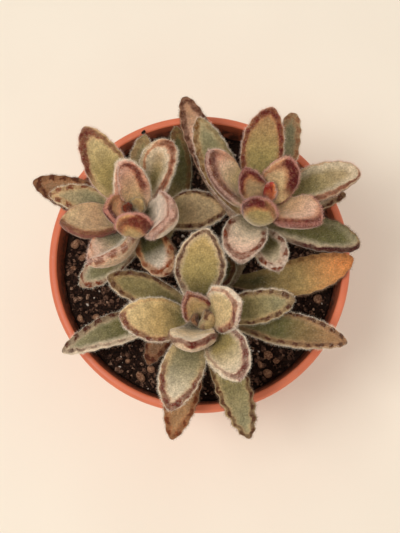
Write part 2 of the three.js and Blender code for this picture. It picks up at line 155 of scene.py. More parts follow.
SEEDS = dict(leaf=1000, fuzz=500, bark=40, soil=5, crumbs=21, grains=31, lip_crumb=33)

# ---- colours of the leaves ----

# sRGB, 0 to 255.
TONES = dict(
    moss=(62, 59, 33), green=(101, 96, 59), sage=(148, 140, 108), olive=(162, 142, 88),
    gold=(192, 160, 104), straw=(216, 188, 138), tan=(204, 164, 126), cream=(234, 214, 186),
    milk=(250, 234, 214), blush=(226, 184, 164), rust=(122, 52, 21), umber=(80, 37, 21),
    maroon=(108, 31, 23), plum=(62, 16, 20), wine=(92, 21, 21), rose=(206, 142, 124), mauve=(150, 92, 84),
    ochre=(126, 84, 40), crimson=(176, 34, 20), orange=(236, 140, 76), bark=(128, 92, 70),
    fawn=(172, 126, 88), cinnamon=(156, 98, 62), sand=(188, 162, 124), apricot=(238, 172, 128),
    fern=(138, 124, 82),
)

# How a leaf is coloured. A row gives its tones at the base, on the face, at the tip, just inside the band,
# in the band of dabs and on the fuzzy rim. After them come the first few of SHARED, and others by name.
# The pale edge just inside the band is partly the felt's own tone and partly painted highlight on the raised
# margin, paler on one side by edge_lean.
TONED = ("base", "face", "tip", "edge", "band", "rim")
SHARED = ("rim_share", "dabs", "edge_share", "band_wide", "band_share")
# What holds where a row is silent. under is the lower face and fuzz the short hairs. at and band_wide are the
# band's distance from the margin and its width, start how far up the leaf it begins, and flare its widening
# at the tip. dabs runs from an even band, 0, to separate dabs, 1. A lean above 0 puts more on the left side.
# teeth is the depth of the notches, rim_tip how far the rim fades at the tip, glow the orange beside the
# band, and reach how much further in the edge goes.
LOOK = dict(
    under="sage", fuzz="sage", edge_share=0.4, at=1.7, band_wide=0.8, start=0.2, flare=1.4, lean=0,
    band_share=0.95, dabs=0.55, teeth=0.5, rim_share=0.62, rim_lean=0, rim_tip=0.8, glow=0.2, reach=1,
)
DOWNY = LOOK | dict(
    fuzz="blush", at=0.8, band_wide=1.5, start=0.3, flare=1.3, band_share=1, dabs=0, teeth=0.2,
    rim_share=0.55, rim_tip=0, glow=0.5,
)


def coat(tones, *shares, plain=LOOK, **rest):
    """A look, which is the plain one but for what is given."""
    look = plain | dict(zip(TONED, tones.split())) | dict(zip(SHARED, shares)) | rest
    look.setdefault("edge_lean", look["lean"])
    return look


downy = partial(coat, plain=DOWNY)

# Dark base tones are partly painted shade, where leaves go down into their rosettes, and the rows marked
# below paint shade on a leaf's base, tip or one side.
LOOKS = {}
LOOKS["left"] = [
    downy("tan apricot olive straw wine rose", 0.55, 0, 0.4, 1.7, 0.95, at=1.3, start=0, lean=0.5),
    downy("gold tan rust straw maroon rose", 0.8, 0, 0.4, 1.6, 0.95, under="gold", at=2.7, lean=0.4),
    downy("moss milk blush milk rust blush", 0.45, 0.3, 0.6, 1.2, 0.7, under="cream", fuzz="cream", at=0.7,
          flare=1.5),
    downy("straw tan rose blush maroon cream", 0.8, 0.15, 0.8, 0.8, 0.95, edge_lean=0.3, at=3.6, flare=0.4,
          lean=-1.3),
    coat("olive olive straw straw maroon blush", 0.4, 0.1, start=0.4, flare=2.2, lean=0.35, teeth=0.4,
         rim_tip=0.4),
    downy("moss sage blush cream rust blush", 0.1, 0.85, 0.4, 1.6, 0.75, under="tan", fuzz="cream", at=0.3,
          lean=-0.1),
    coat("sage tan sand straw maroon mauve", 0.4, 0.1, 0.4, 1.1, 0.8, fuzz="blush", at=1.2, lean=0.8,
         teeth=0.3),
    coat("moss moss milk straw rust fawn", 0.35, 0.5, 0.7, 1.2, 1, lean=0.25, rim_lean=0.9, glow=0.35,
         reach=0.85),
    coat("olive fern tan cream rust cream", 0.75, 0.2, 0.8, 0.75, 0.9, edge_lean=-0.6, at=2.4, flare=1.2,
         lean=-0.7, teeth=0.4, rim_lean=0.2, glow=0.6, reach=1.5),
    coat("green sage sand straw rust cream", 0.5, 0.7, 0.6, rim_lean=-0.4),
    coat("green sand sand straw umber cream", 0.5, 0.35, 0.6, 1, 1, rim_lean=0.4),
    coat("green sand green straw umber cream", 0.62, 0.7, 0.4, 0.8, 0.2),
    coat("green green sage cream rust cream", 0.3, 0.6, 0.6, 0.65, 1, at=1.2, flare=1.8, rim_lean=-0.4),
    coat("moss fawn bark fawn umber bark", 0.62, 0.55, 0.4, 1.2),
    # painted shade: the dark moss tip of this low leaf, which lies in shade
    coat("straw green moss green umber sage", 0.3, 0.55, 0.4, 0.8, 0.5),
    coat("green crimson maroon rust maroon maroon", lean=0.8),
    coat("green olive olive straw umber sage", 0.1, 0.55, 0.4, 0.8, 0, teeth=0),
]
LOOKS["right"] = [
    downy("olive straw rust straw wine rose", 0.6, under="olive", at=1.5, lean=-0.5, rim_lean=0.6),
    # painted shade: the rust base, shaded by the bud beside it
    downy("rust straw fawn fawn wine rose", 0.2, 0, 0.7, start=0.55),
    downy("straw straw tan tan wine rose", 0.55, 0, 0.4, 1.8, edge_lean=0.5, at=1.8, start=0.4, lean=-0.9),
    downy("straw tan blush tan wine rose", 0.3, 0.15, 0.4, 1.8, 0.95, at=0, flare=1.5, lean=-0.4),
    downy("sage straw blush straw wine blush", 0.3, 0.15, 0.4, 2, 0.9, under="blush", flare=1.8, lean=0.7),
    coat("green olive fawn fawn maroon blush", 0.4, 0.2, 0.4, 0.75, flare=1.8, teeth=0.4, rim_lean=0.3,
         rim_tip=0.4),
    downy("green cream blush sage rust milk", 0.25, 0.4, 0.2, under="milk", fuzz="cream", at=1.6, glow=0),
    coat("green fern sand cream rust blush", 0.35, 0, 0.55, 0.85, 0.8, edge_lean=-0.1, flare=0.4,
         lean=-0.75, rim_lean=1, rim_tip=0.2, glow=0.3, reach=1.3),
    coat("green green green cream plum tan", 0.25, 0, 0.35, 0.85, 1, at=0.8, lean=-0.8, rim_lean=0.9,
         reach=1.1),
    coat("green green sage straw ochre cream", 0.4, 0.3, 0.45, 1.1, 1, at=1.5, start=0, flare=1.1,
         lean=0.55, rim_lean=-0.6, glow=0),
    coat("moss green cream milk rust cream", 0.25, 0.6, 0.9, 1.2, 1, teeth=0.4, rim_lean=0.3),
    coat("sage sage sage sand cinnamon cream", 0.62, 0.55, 0.5, 0.9, 0.8, teeth=0.6),
    coat("moss blush fawn blush umber tan", 0.62, 0.3, 0.4, 1.2, flare=1.2),
    coat("sage cream bark sand umber tan"),
    # painted shade: lean darkens the band more on the left side, which lies in shade
    coat("moss gold orange gold rust tan", 0.4, 0.55, 0.2, 1.2, 0.45, flare=0.7, lean=0.5, rim_lean=-0.8,
         glow=0.1),
    coat("gold orange orange crimson crimson blush", 0.3, 0.55, 0.9, edge_lean=0.8, lean=0.9),
    coat("green maroon plum straw umber bark"),
]
LOOKS["front"] = [
    downy("straw gold tan straw maroon blush", 0.1, 0.15, 0.4, 1.05, at=1.1),
    downy("green straw straw cream maroon milk", 0.4, 0.4, 0.8, 0.95, 0.95, fuzz="cream", edge_lean=0.6,
          at=1.9, lean=-0.55),
    downy("moss straw cream cream maroon tan", 0, 0.15, 0.3, 0.85, under="tan", fuzz="cream", at=0.1,
          lean=0.3, glow=0.3),
    coat("moss olive cream cream maroon milk", 0.62, 0.2, 1, 0.75, at=1.9, start=0.35, flare=1.8, lean=0.55,
         teeth=0.4, rim_lean=0.8),
    # painted shade: the moss base, in the shade near the bud
    coat("moss olive gold cream umber milk", 0.8, 0.2, 0.45, 0.9, at=2.1, flare=0.8, teeth=0.4,
         rim_lean=-0.4, rim_tip=0.3),
    coat("green gold straw straw maroon milk", 0.35, 0.3, 0.55, lean=0.7, teeth=0.4),
    coat("green sage cream straw maroon milk", 0.45, 0.2, 0.6, 0.85, edge_lean=-0.3, start=0.45, flare=1.8,
         rim_lean=-0.5),
    coat("green fern sage straw umber cream", 0.62, 0.5, rim_lean=0.9),
    coat("green fern sage straw umber tan", 0.3, 0.35, 0.35, 0.65, edge_lean=-0.5, teeth=1, rim_lean=0.5),
    coat("moss fern fern straw umber cream", 0.45, 0.4, 0.3),
    coat("green green fawn tan umber cream", 0.5, 0.6, rim_lean=0.7),
    coat("green green sage cream umber cream", 0.4, 0.6, 0.6, 0.8, 1, edge_lean=0.6, lean=-0.4),
    coat("sage fawn fawn fawn rust tan", rim_lean=0.4),
    coat("moss bark bark bark umber bark", teeth=0.6),
    coat("moss moss moss moss umber sage"),
    coat("sage sage sage tan umber tan", 0.3, 0.2, 0.4, 0.8, 1, under="olive", at=0.6, flare=0.3, lean=0.5,
         teeth=0),
    coat("green umber maroon straw umber bark"),
]


def linear(tone):
    """A named tone, or an sRGB triple, as linear RGBA."""
    shares = np.array(TONES.get(tone, tone)) / 255
    low = shares / 12.92
    high = ((shares + 0.055) / 1.055) ** 2.4
    return (*np.where(shares < 0.04045, low, high), 1.0)


# ---- meshes ----


def add_object(name, data):
    made = bpy.data.objects.new(name, data)
    bpy.context.scene.collection.objects.link(made)
    return made


def mesh_piece(name, points, faces, material, smooth=True):
    """An object from points in millimetres."""
    mesh = bpy.data.meshes.new(name)
    mesh.from_pydata((np.asarray(points) * MM).tolist(), [], faces)
    mesh.polygons.foreach_set("use_smooth", [smooth] * len(mesh.polygons))
    mesh.materials.append(material)
    mesh.update()
    return add_object(name, mesh)


def finish_piece(piece, slot, *nodes):
    """The piece moves with the part and stands for nodes. Its slot is not used."""
    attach(piece, "root")
    if nodes:
        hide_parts(*nodes)


KINDS = {1: ("FLOAT", "value"), 3: ("FLOAT_VECTOR", "vector"), 4: ("FLOAT_COLOR", "color")}


def set_attributes(piece, **attributes):
    """Values at each point, for a material to read."""
    for name, values in attributes.items():
        kind, key = KINDS[values[0].size]
        attribute = piece.data.attributes.new(name, kind, "POINT")
        attribute.data.foreach_set(key, np.asarray(values, np.float32).ravel())


def full_turn(count):
    """That many even angles round a circle."""
    return np.linspace(0, 2 * np.pi, count, endpoint=False)


def ramp(value, start, over):
    """From 0 at start to 1 further on."""
    return np.clip((value - start) / over, 0, 1)


def unit(vectors):
    return vectors / np.linalg.norm(vectors, axis=-1, keepdims=True)


def tube_faces(rings, sides):
    """Quads between rings of points, and a fan of triangles to a point past each end."""
    around = [(side, (side + 1) % sides) for side in range(sides)]
    start, end, last = rings * sides, rings * sides + 1, (rings - 1) * sides
    faces = [
        (a + row, b + row, b + row + sides, a + row + sides)
        for row in range(0, last, sides)
        for a, b in around
    ]
    for a, b in around:
        faces += [(start, b, a), (end, last + a, last + b)]
    return faces


# ---- leaf shape ----

SECTION_POINTS = 28
BASE_RINGS = 15
TIP_RINGS = 30
MIDLINE_STEPS = 160
TIP_SWEEP = math.radians(85)  # how far the rings crowd towards the tip
SEAT = 0.6  # where a leaf starts, as a share of the stem's radius

# The notches: their spacing, how much of a leaf's length they take up and where that starts, how they crowd
# towards the tip, the fewest on a side, and the shares over which they deepen and end.
TOOTH = dict(pitch=5, zone=0.55, share=0.42, crowding=1.25, fewest=2, deepen=(0.4, 0.15), end=0.04)

# How square a leaf's section is, how it thins with its width, how steeply a cupped margin rises, how
# sharply a notch cuts in, the waves of its outline and its faces, and the groove along its middle.
FORM = dict(
    square=0.58, thinning=0.6, cupping=1.7, notching=8, wobble=0.035, ripple=0.07, groove=0.22,
    groove_wide=0.16,
)


def stem_point(stem, t):
    foot, bend, top = (np.array(stem[k], float) for k in ("foot", "bend", "top"))
    t = np.asarray(t, float)[..., None]
    return (1 - t) ** 2 * foot + 2 * t * (1 - t) * bend + t**2 * top


def outline(leaf, u):
    """Width of a leaf at share u of its length, as a share of its full width."""
    rise = 0.5 - 0.5 * np.cos(np.pi * ramp(u, 0, leaf["wide"]) ** 0.85)
    low = leaf["neck"] + (1 - leaf["neck"]) * rise
    past = ramp(u, leaf["wide"], 1 - leaf["wide"])
    return np.where(u < leaf["wide"], low, (1 - past**2) ** leaf["blunt"])


def leaf_directions(leaf, u):
    """Directions along a leaf, to its left and up from its face, at shares u of its length."""
    az = np.radians(leaf["az"] + leaf["swing"] * (u - 0.5))
    slope = np.radians(leaf["pitch"] + leaf["curl"] * (u - 0.5))
    roll = math.radians(leaf["roll"])
    along = np.stack([np.cos(az) * np.cos(slope), np.sin(az) * np.cos(slope), np.sin(slope)], -1)
    left = np.stack([-np.sin(az), np.cos(az), np.zeros_like(az)], -1)
    up = np.cross(along, left)
    turned = left * math.cos(roll) + up * math.sin(roll)
    return along, turned, up * math.cos(roll) - left * math.sin(roll)


def leaf_midline(stem, leaf, u):
    """Points on a leaf's middle line at shares u of its length."""
    az = math.radians(leaf["az"])
    reach = stem["radius"] * SEAT
    seat = stem_point(stem, leaf["at"]) + np.array([math.cos(az) * reach, math.sin(az) * reach, 0])
    ends = np.linspace(0, 1, MIDLINE_STEPS + 1)
    steps = leaf_directions(leaf, (ends[1:] + ends[:-1]) / 2)[0] * leaf["length"] / MIDLINE_STEPS
    points = seat + np.concatenate([np.zeros((1, 3)), np.cumsum(steps, 0)])
    return np.stack([np.interp(u, ends, points[:, k]) for k in range(3)], -1)


def tooth_count(leaf, u):
    """How many teeth of the margin lie between the start of its notched part and u."""
    steps = 2 * max(TOOTH["fewest"], round(leaf["length"] * TOOTH["zone"] / TOOTH["pitch"]))
    past = np.clip((u - TOOTH["share"]) / (1 - TOOTH["share"]), None, 1)
    up = (steps + 1) * (1 - (1 - np.clip(past, 0, 1)) ** (1 / TOOTH["crowding"]))
    down = past * (1 - TOOTH["share"]) * leaf["length"] / TOOTH["pitch"] * 2
    return np.where(past > 0, up, down) / 2


def wave(rng, u, count=4, slowest=1.0):
    """A smooth random line over u, of about unit height."""
    total = np.zeros_like(u)
    for k in range(count):
        total += np.sin(2 * np.pi * ((slowest + k * 0.8) * u + rng.random())) / (k + 1.5)
    return total


def two_waves(rng, u, on_left, *settings):
    """A smooth random line for each side of a leaf, at each point of its rings."""
    return np.where(on_left, wave(rng, u, *settings)[:, None], wave(rng, u, *settings)[:, None])


def from_sides(rings):
    """Each point's distance from the nearer side margin, along its own face."""
    steps = np.linalg.norm(np.roll(rings, -1, axis=1) - rings, axis=2)
    faces = []
    for face in np.split(steps, 2, axis=1):
        run = np.cumsum(np.pad(face, ((0, 0), (1, 0))), 1)
        faces.append(np.minimum(run, run[:, -1:] - run)[:, :-1])
    return np.concatenate(faces, 1)


def leaf_surface(stem, leaf, look, rng):
    """A leaf's rings of points, with each point's distance from the margin and what else its look needs."""
    spread = np.sin(np.linspace(0, TIP_SWEEP, TIP_RINGS + 1))[1:]
    u = np.concatenate(
        [np.linspace(0, leaf["wide"], BASE_RINGS), leaf["wide"] + (1 - leaf["wide"]) * spread]
    )
    middle = leaf_midline(stem, leaf, u)
    along, left, up = leaf_directions(leaf, u)
    row = u[:, None]
    share = outline(leaf, row)
    angle = full_turn(SECTION_POINTS)
    across = np.cos(angle)
    lift = np.sign(np.sin(angle)) * np.abs(np.sin(angle)) ** FORM["square"]

    half_width = leaf["width"] / 2 * share
    half_thick = leaf["thick"] / 2 * share ** FORM["thinning"] * (0.85 + 0.15 * np.sin(np.pi * row))
    teeth = -np.cos(2 * np.pi * tooth_count(leaf, row)) * ramp(row, *TOOTH["deepen"])
    notch = look["teeth"] / 2 * teeth * ramp(1 - row, 0, TOOTH["end"])
    wobble = two_waves(rng, u, across > 0) * share
    ripple = two_waves(rng, u, across > 0, 5, 1.6)

    sideways = across * (half_width * (1 + FORM["wobble"] * wobble))
    sideways = sideways + np.sign(across) * notch * np.abs(across) ** FORM["notching"]
    bend = leaf["cup"] * half_width * np.abs(across) ** FORM["cupping"]
    curl = FORM["ripple"] * ripple * half_width * across**2
    dip = np.exp(-((across / FORM["groove_wide"]) ** 2)) * (lift > 0)
    upwards = lift * half_thick + bend + curl - FORM["groove"] * share * dip
    rings = middle[:, None] + left[:, None] * sideways[..., None] + up[:, None] * upwards[..., None]

    from_side = from_sides(rings)
    from_tip = ((1 - row) * leaf["length"] + 0.5 * half_thick) * np.ones_like(from_side)
    margin = (np.maximum(from_side, 1e-4) ** -3 + np.maximum(from_tip, 1e-4) ** -3) ** (-1 / 3)
    return dict(
        rings=rings, u=u, margin=margin, lift=lift, across=across, along=along,
        seat=middle[0] - along[0] * 0.2, tip=leaf_midline(stem, leaf, np.array([1.0]))[0],
    )


def blend_tones(look, u, **places):
    """Tones of a look, each pure at its own place, blended along u."""
    colours = np.array([linear(look[key]) for key in places])
    return np.stack([np.interp(u, [*places.values()], colours[:, k]) for k in range(4)], -1)


# In shares of a leaf's length: over what the band sets in, and where the band widens and the rim fades.
BAND_SETS_IN = 0.25
BAND_WIDENS = (0.6, 0.35)
RIM_FADES = (0.9, 0.07)


def leaf_colours(leaf, look, surface):
    """Each point's tones and pattern, for the felt material to read."""
    margin, across = surface["margin"], surface["across"]
    shape = margin.shape
    along = np.broadcast_to(surface["u"][:, None], shape)
    # The base tone is darker partly as painted shade, where the leaf goes down into its rosette.
    face = blend_tones(look, along, base=0.22, face=0.55, tip=0.95)
    lower = np.clip(-surface["lift"] * 1.5, 0, 1)[None, :, None] * 0.8
    face = face * (1 - lower) + blend_tones(look, along, base=0.1, under=0.5) * lower

    def toned(key, share):
        tone = np.broadcast_to(linear(look[key]), (*shape, 4)).copy()
        tone[..., 3] = share
        return tone

    starts = ramp(along, look["start"], BAND_SETS_IN)
    face[..., 3] = look["glow"] * starts
    lean = 1 + look["lean"] * across
    full = np.clip(2.2 * lean - 0.9, 0, 1)
    tip = ramp(along, *RIM_FADES)
    rim_lean = np.clip(1 + look["rim_lean"] * across, 0, 1)
    wider = 1 + (look["flare"] - 1) * ramp(along, *BAND_WIDENS)
    middle = look["at"] * wider**0.5 * (1 - 0.5 * look["rim_tip"] * tip)
    return dict(
        face_tone=face,
        # The edge leans to one side: partly painted highlight on the side that the light falls on.
        edge_tone=toned("edge", np.clip(look["edge_share"] * (1 + look["edge_lean"] * across), 0, 1)),
        band_tone=toned("band", look["band_share"] * full * starts * starts * (3 - 2 * starts)),
        rim_tone=toned("rim", look["rim_share"] * rim_lean * (1 - look["rim_tip"] * tip)),
        pattern=np.stack([middle, look["band_wide"] * wider * lean, np.full(shape, look["dabs"])], -1),
        teeth=tooth_count(leaf, along),
        margin=margin,
        reach=np.full(shape, look["reach"]),
    )


def with_caps(values):
    """A ringed array as a list of points, with one more for each closing point."""
    flat = values.reshape(-1, *values.shape[2:])
    return np.concatenate([flat, values[0, :1], values[-1, :1]])


def leaf_piece(name, leaf, look, surface, material):
    """A leaf's skin, with its colours as attributes."""
    rings = surface["rings"]
    points = np.concatenate([rings.reshape(-1, 3), [surface["seat"], surface["tip"]]])
    piece = mesh_piece(name, points, tube_faces(*rings.shape[:2]), material)
    colours = leaf_colours(leaf, look, surface)
    set_attributes(piece, **{key: with_caps(values) for key, values in colours.items()})
    return piece


# ---- materials ----


class Nodes:
    """A material's node tree, with short ways to add and join nodes."""

    def __init__(self, name):
        self.material = bpy.data.materials.new(name)
        self.material.use_nodes = True
        self.tree = self.material.node_tree
        self.shader = self.tree.nodes["Principled BSDF"]

    def add(self, kind, *values, named=(), **settings):
        """A node with values on its inputs, by order or by name, and other settings."""
        node = self.tree.nodes.new(kind)
        for key, value in settings.items():
            setattr(node, key, value)
        for key, value in [*enumerate(values), *dict(named).items()]:
            self.put(node.inputs[key], value)
        return node

    def put(self, socket, value):
        """Links a socket to another one, or sets its number or tone."""
        if isinstance(value, bpy.types.NodeSocket):
            self.tree.links.new(value, socket)
        else:
            socket.default_value = linear(value) if socket.type == "RGBA" else value

    def math(self, operation, *values, clamp=False):
        return self.add("ShaderNodeMath", *values, operation=operation, use_clamp=clamp).outputs[0]

    plus = partialmethod(math, "ADD")
    minus = partialmethod(math, "SUBTRACT")
    times = partialmethod(math, "MULTIPLY")

    def remap(self, *values):
        """A value's smooth step between two levels, from 0 to 1 or between two more given ones."""
        return self.add("ShaderNodeMapRange", *values, interpolation_type="SMOOTHSTEP").outputs[0]

    def mix(self, share, *colours, blend="MIX"):
        node = self.add("ShaderNodeMix", share, data_type="RGBA", blend_type=blend)
        for socket, colour in zip([socket for socket in node.inputs if socket.type == "RGBA"], colours):
            self.put(socket, colour)
        return next(socket for socket in node.outputs if socket.type == "RGBA")

    def noise(self, scale, detail=3.0, roughness=0.6):
        """Noise from 0 to 1, its scale per metre."""
        named = dict(Vector=self.place(), Scale=scale, Detail=detail, Roughness=roughness)
        return self.add("ShaderNodeTexNoise", named=named).outputs["Fac"]

    def sway(self, size, *noise):
        """Noise of about that size either side of 0."""
        return self.times(self.minus(self.noise(*noise), 0.5), size)

    def place(self):
        return self.add("ShaderNodeTexCoord").outputs["Object"]

    def attribute(self, name):
        return self.add("ShaderNodeAttribute", attribute_name=name).outputs

    def split(self, vector):
        return self.add("ShaderNodeSeparateXYZ", vector).outputs

    def bump(self, height, distance, strength):
        named = dict(Strength=strength, Distance=distance, Height=height)
        self.put(self.shader.inputs["Normal"], self.add("ShaderNodeBump", named=named).outputs["Normal"])

    def set(self, **values):
        for key, value in values.items():
            self.put(self.shader.inputs[key.replace("_", " ")], value)
        return self.material


BAND_CORE = (54, 20, 15)
SHEEN = (255, 246, 234)


def felt_material():
    """Green skin under short hairs, with brown dabs inside a pale margin."""
    n = Nodes("leaf_felt")
    margin, teeth, reach = (n.attribute(name)["Fac"] for name in ("margin", "teeth", "reach"))
    face, edge, band, rim = (n.attribute(f"{key}_tone") for key in ("face", "edge", "band", "rim"))
    band_at, band_wide, dabs = n.split(n.attribute("pattern")["Vector"])

    # strayed is the distance from the margin, made ragged, and off that from the band, in band widths.
    ragged = n.sway(1.6, 900, 3)
    wander = n.sway(2.0, 190, 1)
    strayed = n.plus(margin, n.plus(ragged, n.times(wander, n.remap(margin, 0.5, 2.5))))
    off = n.math("DIVIDE", n.math("ABSOLUTE", n.minus(strayed, band_at)), band_wide)
    inside = n.plus(n.remap(off, 1.35, 0.6, 0.0, 0.85), n.remap(off, 2.4, 0.7, 0.0, 0.15))

    # The band breaks up into dabs at the notches of the margin, and into flecks anywhere.
    rhythm = n.plus(n.math("COSINE", n.times(teeth, 2 * math.pi)), n.sway(5.0, 430, 1))
    fleck = n.remap(n.noise(750, 2), 0.36, 0.56, 0.2, 0.0)
    gap = n.plus(n.times(dabs, n.remap(rhythm, -0.5, 0.5)), fleck)
    dab = n.minus(1.0, gap, clamp=True)
    faded = n.minus(1.0, n.times(gap, 0.5))

    band_share = n.times(n.times(inside, dab), band["Alpha"])
    core_share = n.times(n.remap(off, 0.9, 0.2, 0.0, 0.36), band_share)
    # The pale edge inside the band: partly the felt's own tone, partly painted highlight on the raised
    # margin.
    edge_share = n.times(n.remap(n.math("DIVIDE", strayed, reach), 5.0, 2.2), edge["Alpha"])
    rim_share = n.times(n.remap(strayed, 1.2, 0.3), rim["Alpha"])
    glow = n.times(n.times(n.remap(off, 2.0, 1.0), faded), face["Alpha"])

    colour = n.mix(edge_share, face["Color"], edge["Color"])
    blotch = n.remap(n.noise(110, 2), 0.3, 0.7)
    colour = n.mix(blotch, n.mix(0.18, colour, "green"), n.mix(0.08, colour, "gold"))
    colour = n.mix(glow, colour, n.mix(0.5, band["Color"], "orange"))
    speck = n.remap(n.noise(1700, 2), 0.45, 0.72, 0.0, 0.2)
    colour = n.mix(band_share, colour, n.mix(speck, band["Color"], rim["Color"]))
    colour = n.mix(core_share, colour, BAND_CORE)
    colour = n.mix(rim_share, colour, rim["Color"])
    grain = n.remap(n.noise(1500, 4, 0.7), 0.3, 0.72, 0.69, 1.27)
    tufts = n.remap(n.noise(420, 2), 0.32, 0.68, 0.84, 1.15)
    colour = n.mix(1.0, colour, n.times(grain, tufts), blend="MULTIPLY")
    n.bump(n.noise(1700, 4, 0.7), 0.00025, 0.7)
    return n.set(
        Base_Color=colour, Roughness=0.92, Specular_IOR_Level=0.15, Sheen_Weight=0.5, Sheen_Roughness=0.35,
        Sheen_Tint=SHEEN,
    )


def hair_material(name, tone):
    return Nodes(name).set(Base_Color=tone, Roughness=0.7, Specular_IOR_Level=0.2)


def stem_material():
    """Felted bark, browner and darker round the old leaf scars."""
    n = Nodes("stem_bark")
    scar, fresh = (n.attribute(name)["Fac"] for name in ("scar", "fresh"))
    colour = n.mix(fresh, (92, 74, 52), (120, 106, 72))
    colour = n.mix(n.remap(n.noise(420, 4, 0.7), 0.35, 0.68), colour, (126, 106, 82))
    colour = n.mix(n.times(scar, 0.8), colour, (70, 50, 38))
    n.bump(n.noise(1300, 4, 0.7), 0.0003, 0.8)
    return n.set(Base_Color=colour, Roughness=0.9, Specular_IOR_Level=0.15)


STAIN_AND_SHADE = (0.111, 0.1025)  # heights in metres over which the soil's stain and painted shade set in


def pot_material():
    """Smooth clay-coloured plastic, a little dusty, with soil stains and painted shade inside."""
    n = Nodes("pot_clay")
    fine = n.noise(1400, 4, 0.65)
    broad = n.noise(38, 3)
    colour = n.mix(n.remap(broad, 0.35, 0.7), (212, 108, 71), (227, 122, 84))
    colour = n.mix(n.remap(fine, 0.55, 0.8, 0.0, 0.3), colour, (190, 90, 58))
    inside = n.attribute("inside")["Fac"]
    # Lower on the inside wall the colour darkens further, in blotches: soil stain and painted shade together.
    low = n.remap(n.split(n.place())["Z"], *STAIN_AND_SHADE)
    splash = n.remap(n.noise(420, 4, 0.7), 0.42, 0.6)
    stain_and_shade = n.times(n.times(inside, low), n.plus(0.5, splash), clamp=True)
    # painted shade: the whole inside wall is darkened, as the pot's hollow is.
    colour = n.mix(n.times(inside, 0.45), colour, (104, 46, 30))
    colour = n.mix(stain_and_shade, colour, (76, 40, 26))
    dust = n.remap(n.noise(160, 5, 0.7), 0.56, 0.78, 0.0, 0.22)
    colour = n.mix(dust, colour, (232, 186, 160))
    rough = n.remap(broad, 0.3, 0.75, 0.42, 0.6)
    n.bump(n.noise(900, 3), 0.00012, 0.35)
    return n.set(Base_Color=colour, Roughness=rough, Specular_IOR_Level=0.45)


def soil_material(name, dark, light, scale=1300.0):
    n = Nodes(name)
    colour = n.mix(n.remap(n.noise(scale, 4, 0.7), 0.35, 0.7), dark, light)
    n.bump(n.noise(scale * 2.2, 4, 0.7), 0.0003, 0.9)
    return n.set(Base_Color=colour, Roughness=0.85, Specular_IOR_Level=0.15)


def floor_material():
    n = Nodes("studio_floor")
    colour = n.mix(n.remap(n.noise(9, 2), 0.3, 0.7), (247, 237, 220), (249, 240, 223))
    return n.set(Base_Color=colour, Roughness=0.9, Specular_IOR_Level=0.1)


# ---- pot ----


def rounded(edge, across, down):
    """Points over a rounded edge of the pot's top, from its side to the top."""
    return [
        (edge - across * (1 - math.cos(a)), POT["height"] - down * (1 - math.sin(a)))
        for a in np.linspace(0, math.pi / 2, LIP["steps"] + 1)
    ]


def pot_profile():
    """The pot's section as radius and height, up the outside, over the lip and down the inside."""
    foot, neck, cut, middle = (POT[key] for key in ("foot", "neck", "foot_bevel", "bevel_middle"))
    outside = [(foot - cut, 0), (foot - middle, middle), (foot, cut)]
    steps = POT["outer_steps"]
    outside += [(foot + (neck - foot) * k / steps, SHOULDER * k / steps) for k in range(1, steps)]
    across, up = POT["collar_edge"]
    outside += [(neck, SHOULDER - POT["collar_step"]), (POT["collar"] - across, SHOULDER)]
    outside += [(POT["collar"], SHOULDER + up), *rounded(POT["rim"], LIP["across"], LIP["down"])]
    outside += reversed(rounded(POT["mouth"], -LIP["mouth_bevel"], LIP["mouth_bevel"]))
    down = np.linspace(SHOULDER, POT["floor"], POT["inner_steps"] + 1)
    return outside + [(pot_inside(z), z) for z in down], len(outside) - 2


def pot_piece(material):
    """The pot, with its inside marked for the soil's stain and the painted shade inside it."""
    profile, first_inside = pot_profile()
    turn = full_turn(POT["facets"])
    rings = [[(r * math.cos(a), r * math.sin(a), z) for a in turn] for r, z in profile]
    points = np.concatenate([*rings, [(0, 0, 0), (0, 0, POT["floor"])]])
    piece = mesh_piece("pot_shell", points, tube_faces(len(profile), len(turn)), material)
    inside = np.zeros(len(points))
    inside[first_inside * len(turn):] = 1
    inside[-2] = 0
    set_attributes(piece, inside=inside)
    cut_drains(piece)
    finish_piece(piece, "pot", "pot")


def cut_drains(piece):
    """Cuts the drain holes through the pot's floor."""
    drill = bmesh.new()
    for angle in full_turn(DRAIN["holes"]):
        shift = Vector((math.cos(angle), math.sin(angle), 0)) * DRAIN["ring"] * MM
        bmesh.ops.create_cone(
            drill, cap_ends=True, segments=DRAIN["facets"], radius1=DRAIN["radius"] * MM,
            radius2=DRAIN["radius"] * MM, depth=4 * POT["floor"] * MM, matrix=Matrix.Translation(shift),
        )
    mesh = bpy.data.meshes.new("drill")
    drill.to_mesh(mesh)
    drill.free()
    tool = add_object("drill", mesh)
    cut = piece.modifiers.new("drains", "BOOLEAN")
    cut.operation = "DIFFERENCE"
    cut.solver = "EXACT"
    cut.object = tool
    depsgraph = bpy.context.evaluated_depsgraph_get()
    done = bpy.data.meshes.new_from_object(piece.evaluated_get(depsgraph))
    piece.modifiers.clear()
    piece.data = done
    bpy.data.objects.remove(tool)
    bpy.data.meshes.remove(mesh)


# ---- soil ----


def soil_wave(x, y):
    """Height of the soil's top above or below its mean, as in the part's source."""
    broad = np.sin(0.16 * x + 1.7) * np.cos(0.14 * y - 0.6)
    fine = np.sin(0.43 * x - 0.4) * np.cos(0.39 * y + 2.1)
    return SOIL["roughness"] * (broad + 0.7 * fine)


def pot_inside(z):
    """Inner radius of the pot at height z."""
    neck = POT["neck"] - POT["wall"]
    foot = POT["foot"] - POT["wall"]
    if z < SHOULDER:
        return foot + (neck - foot) * (z - POT["floor"]) / (SHOULDER - POT["floor"])
    return neck + (POT["mouth"] - neck) * (z - SHOULDER) / (POT["collar_height"] - LIP["mouth_bevel"])


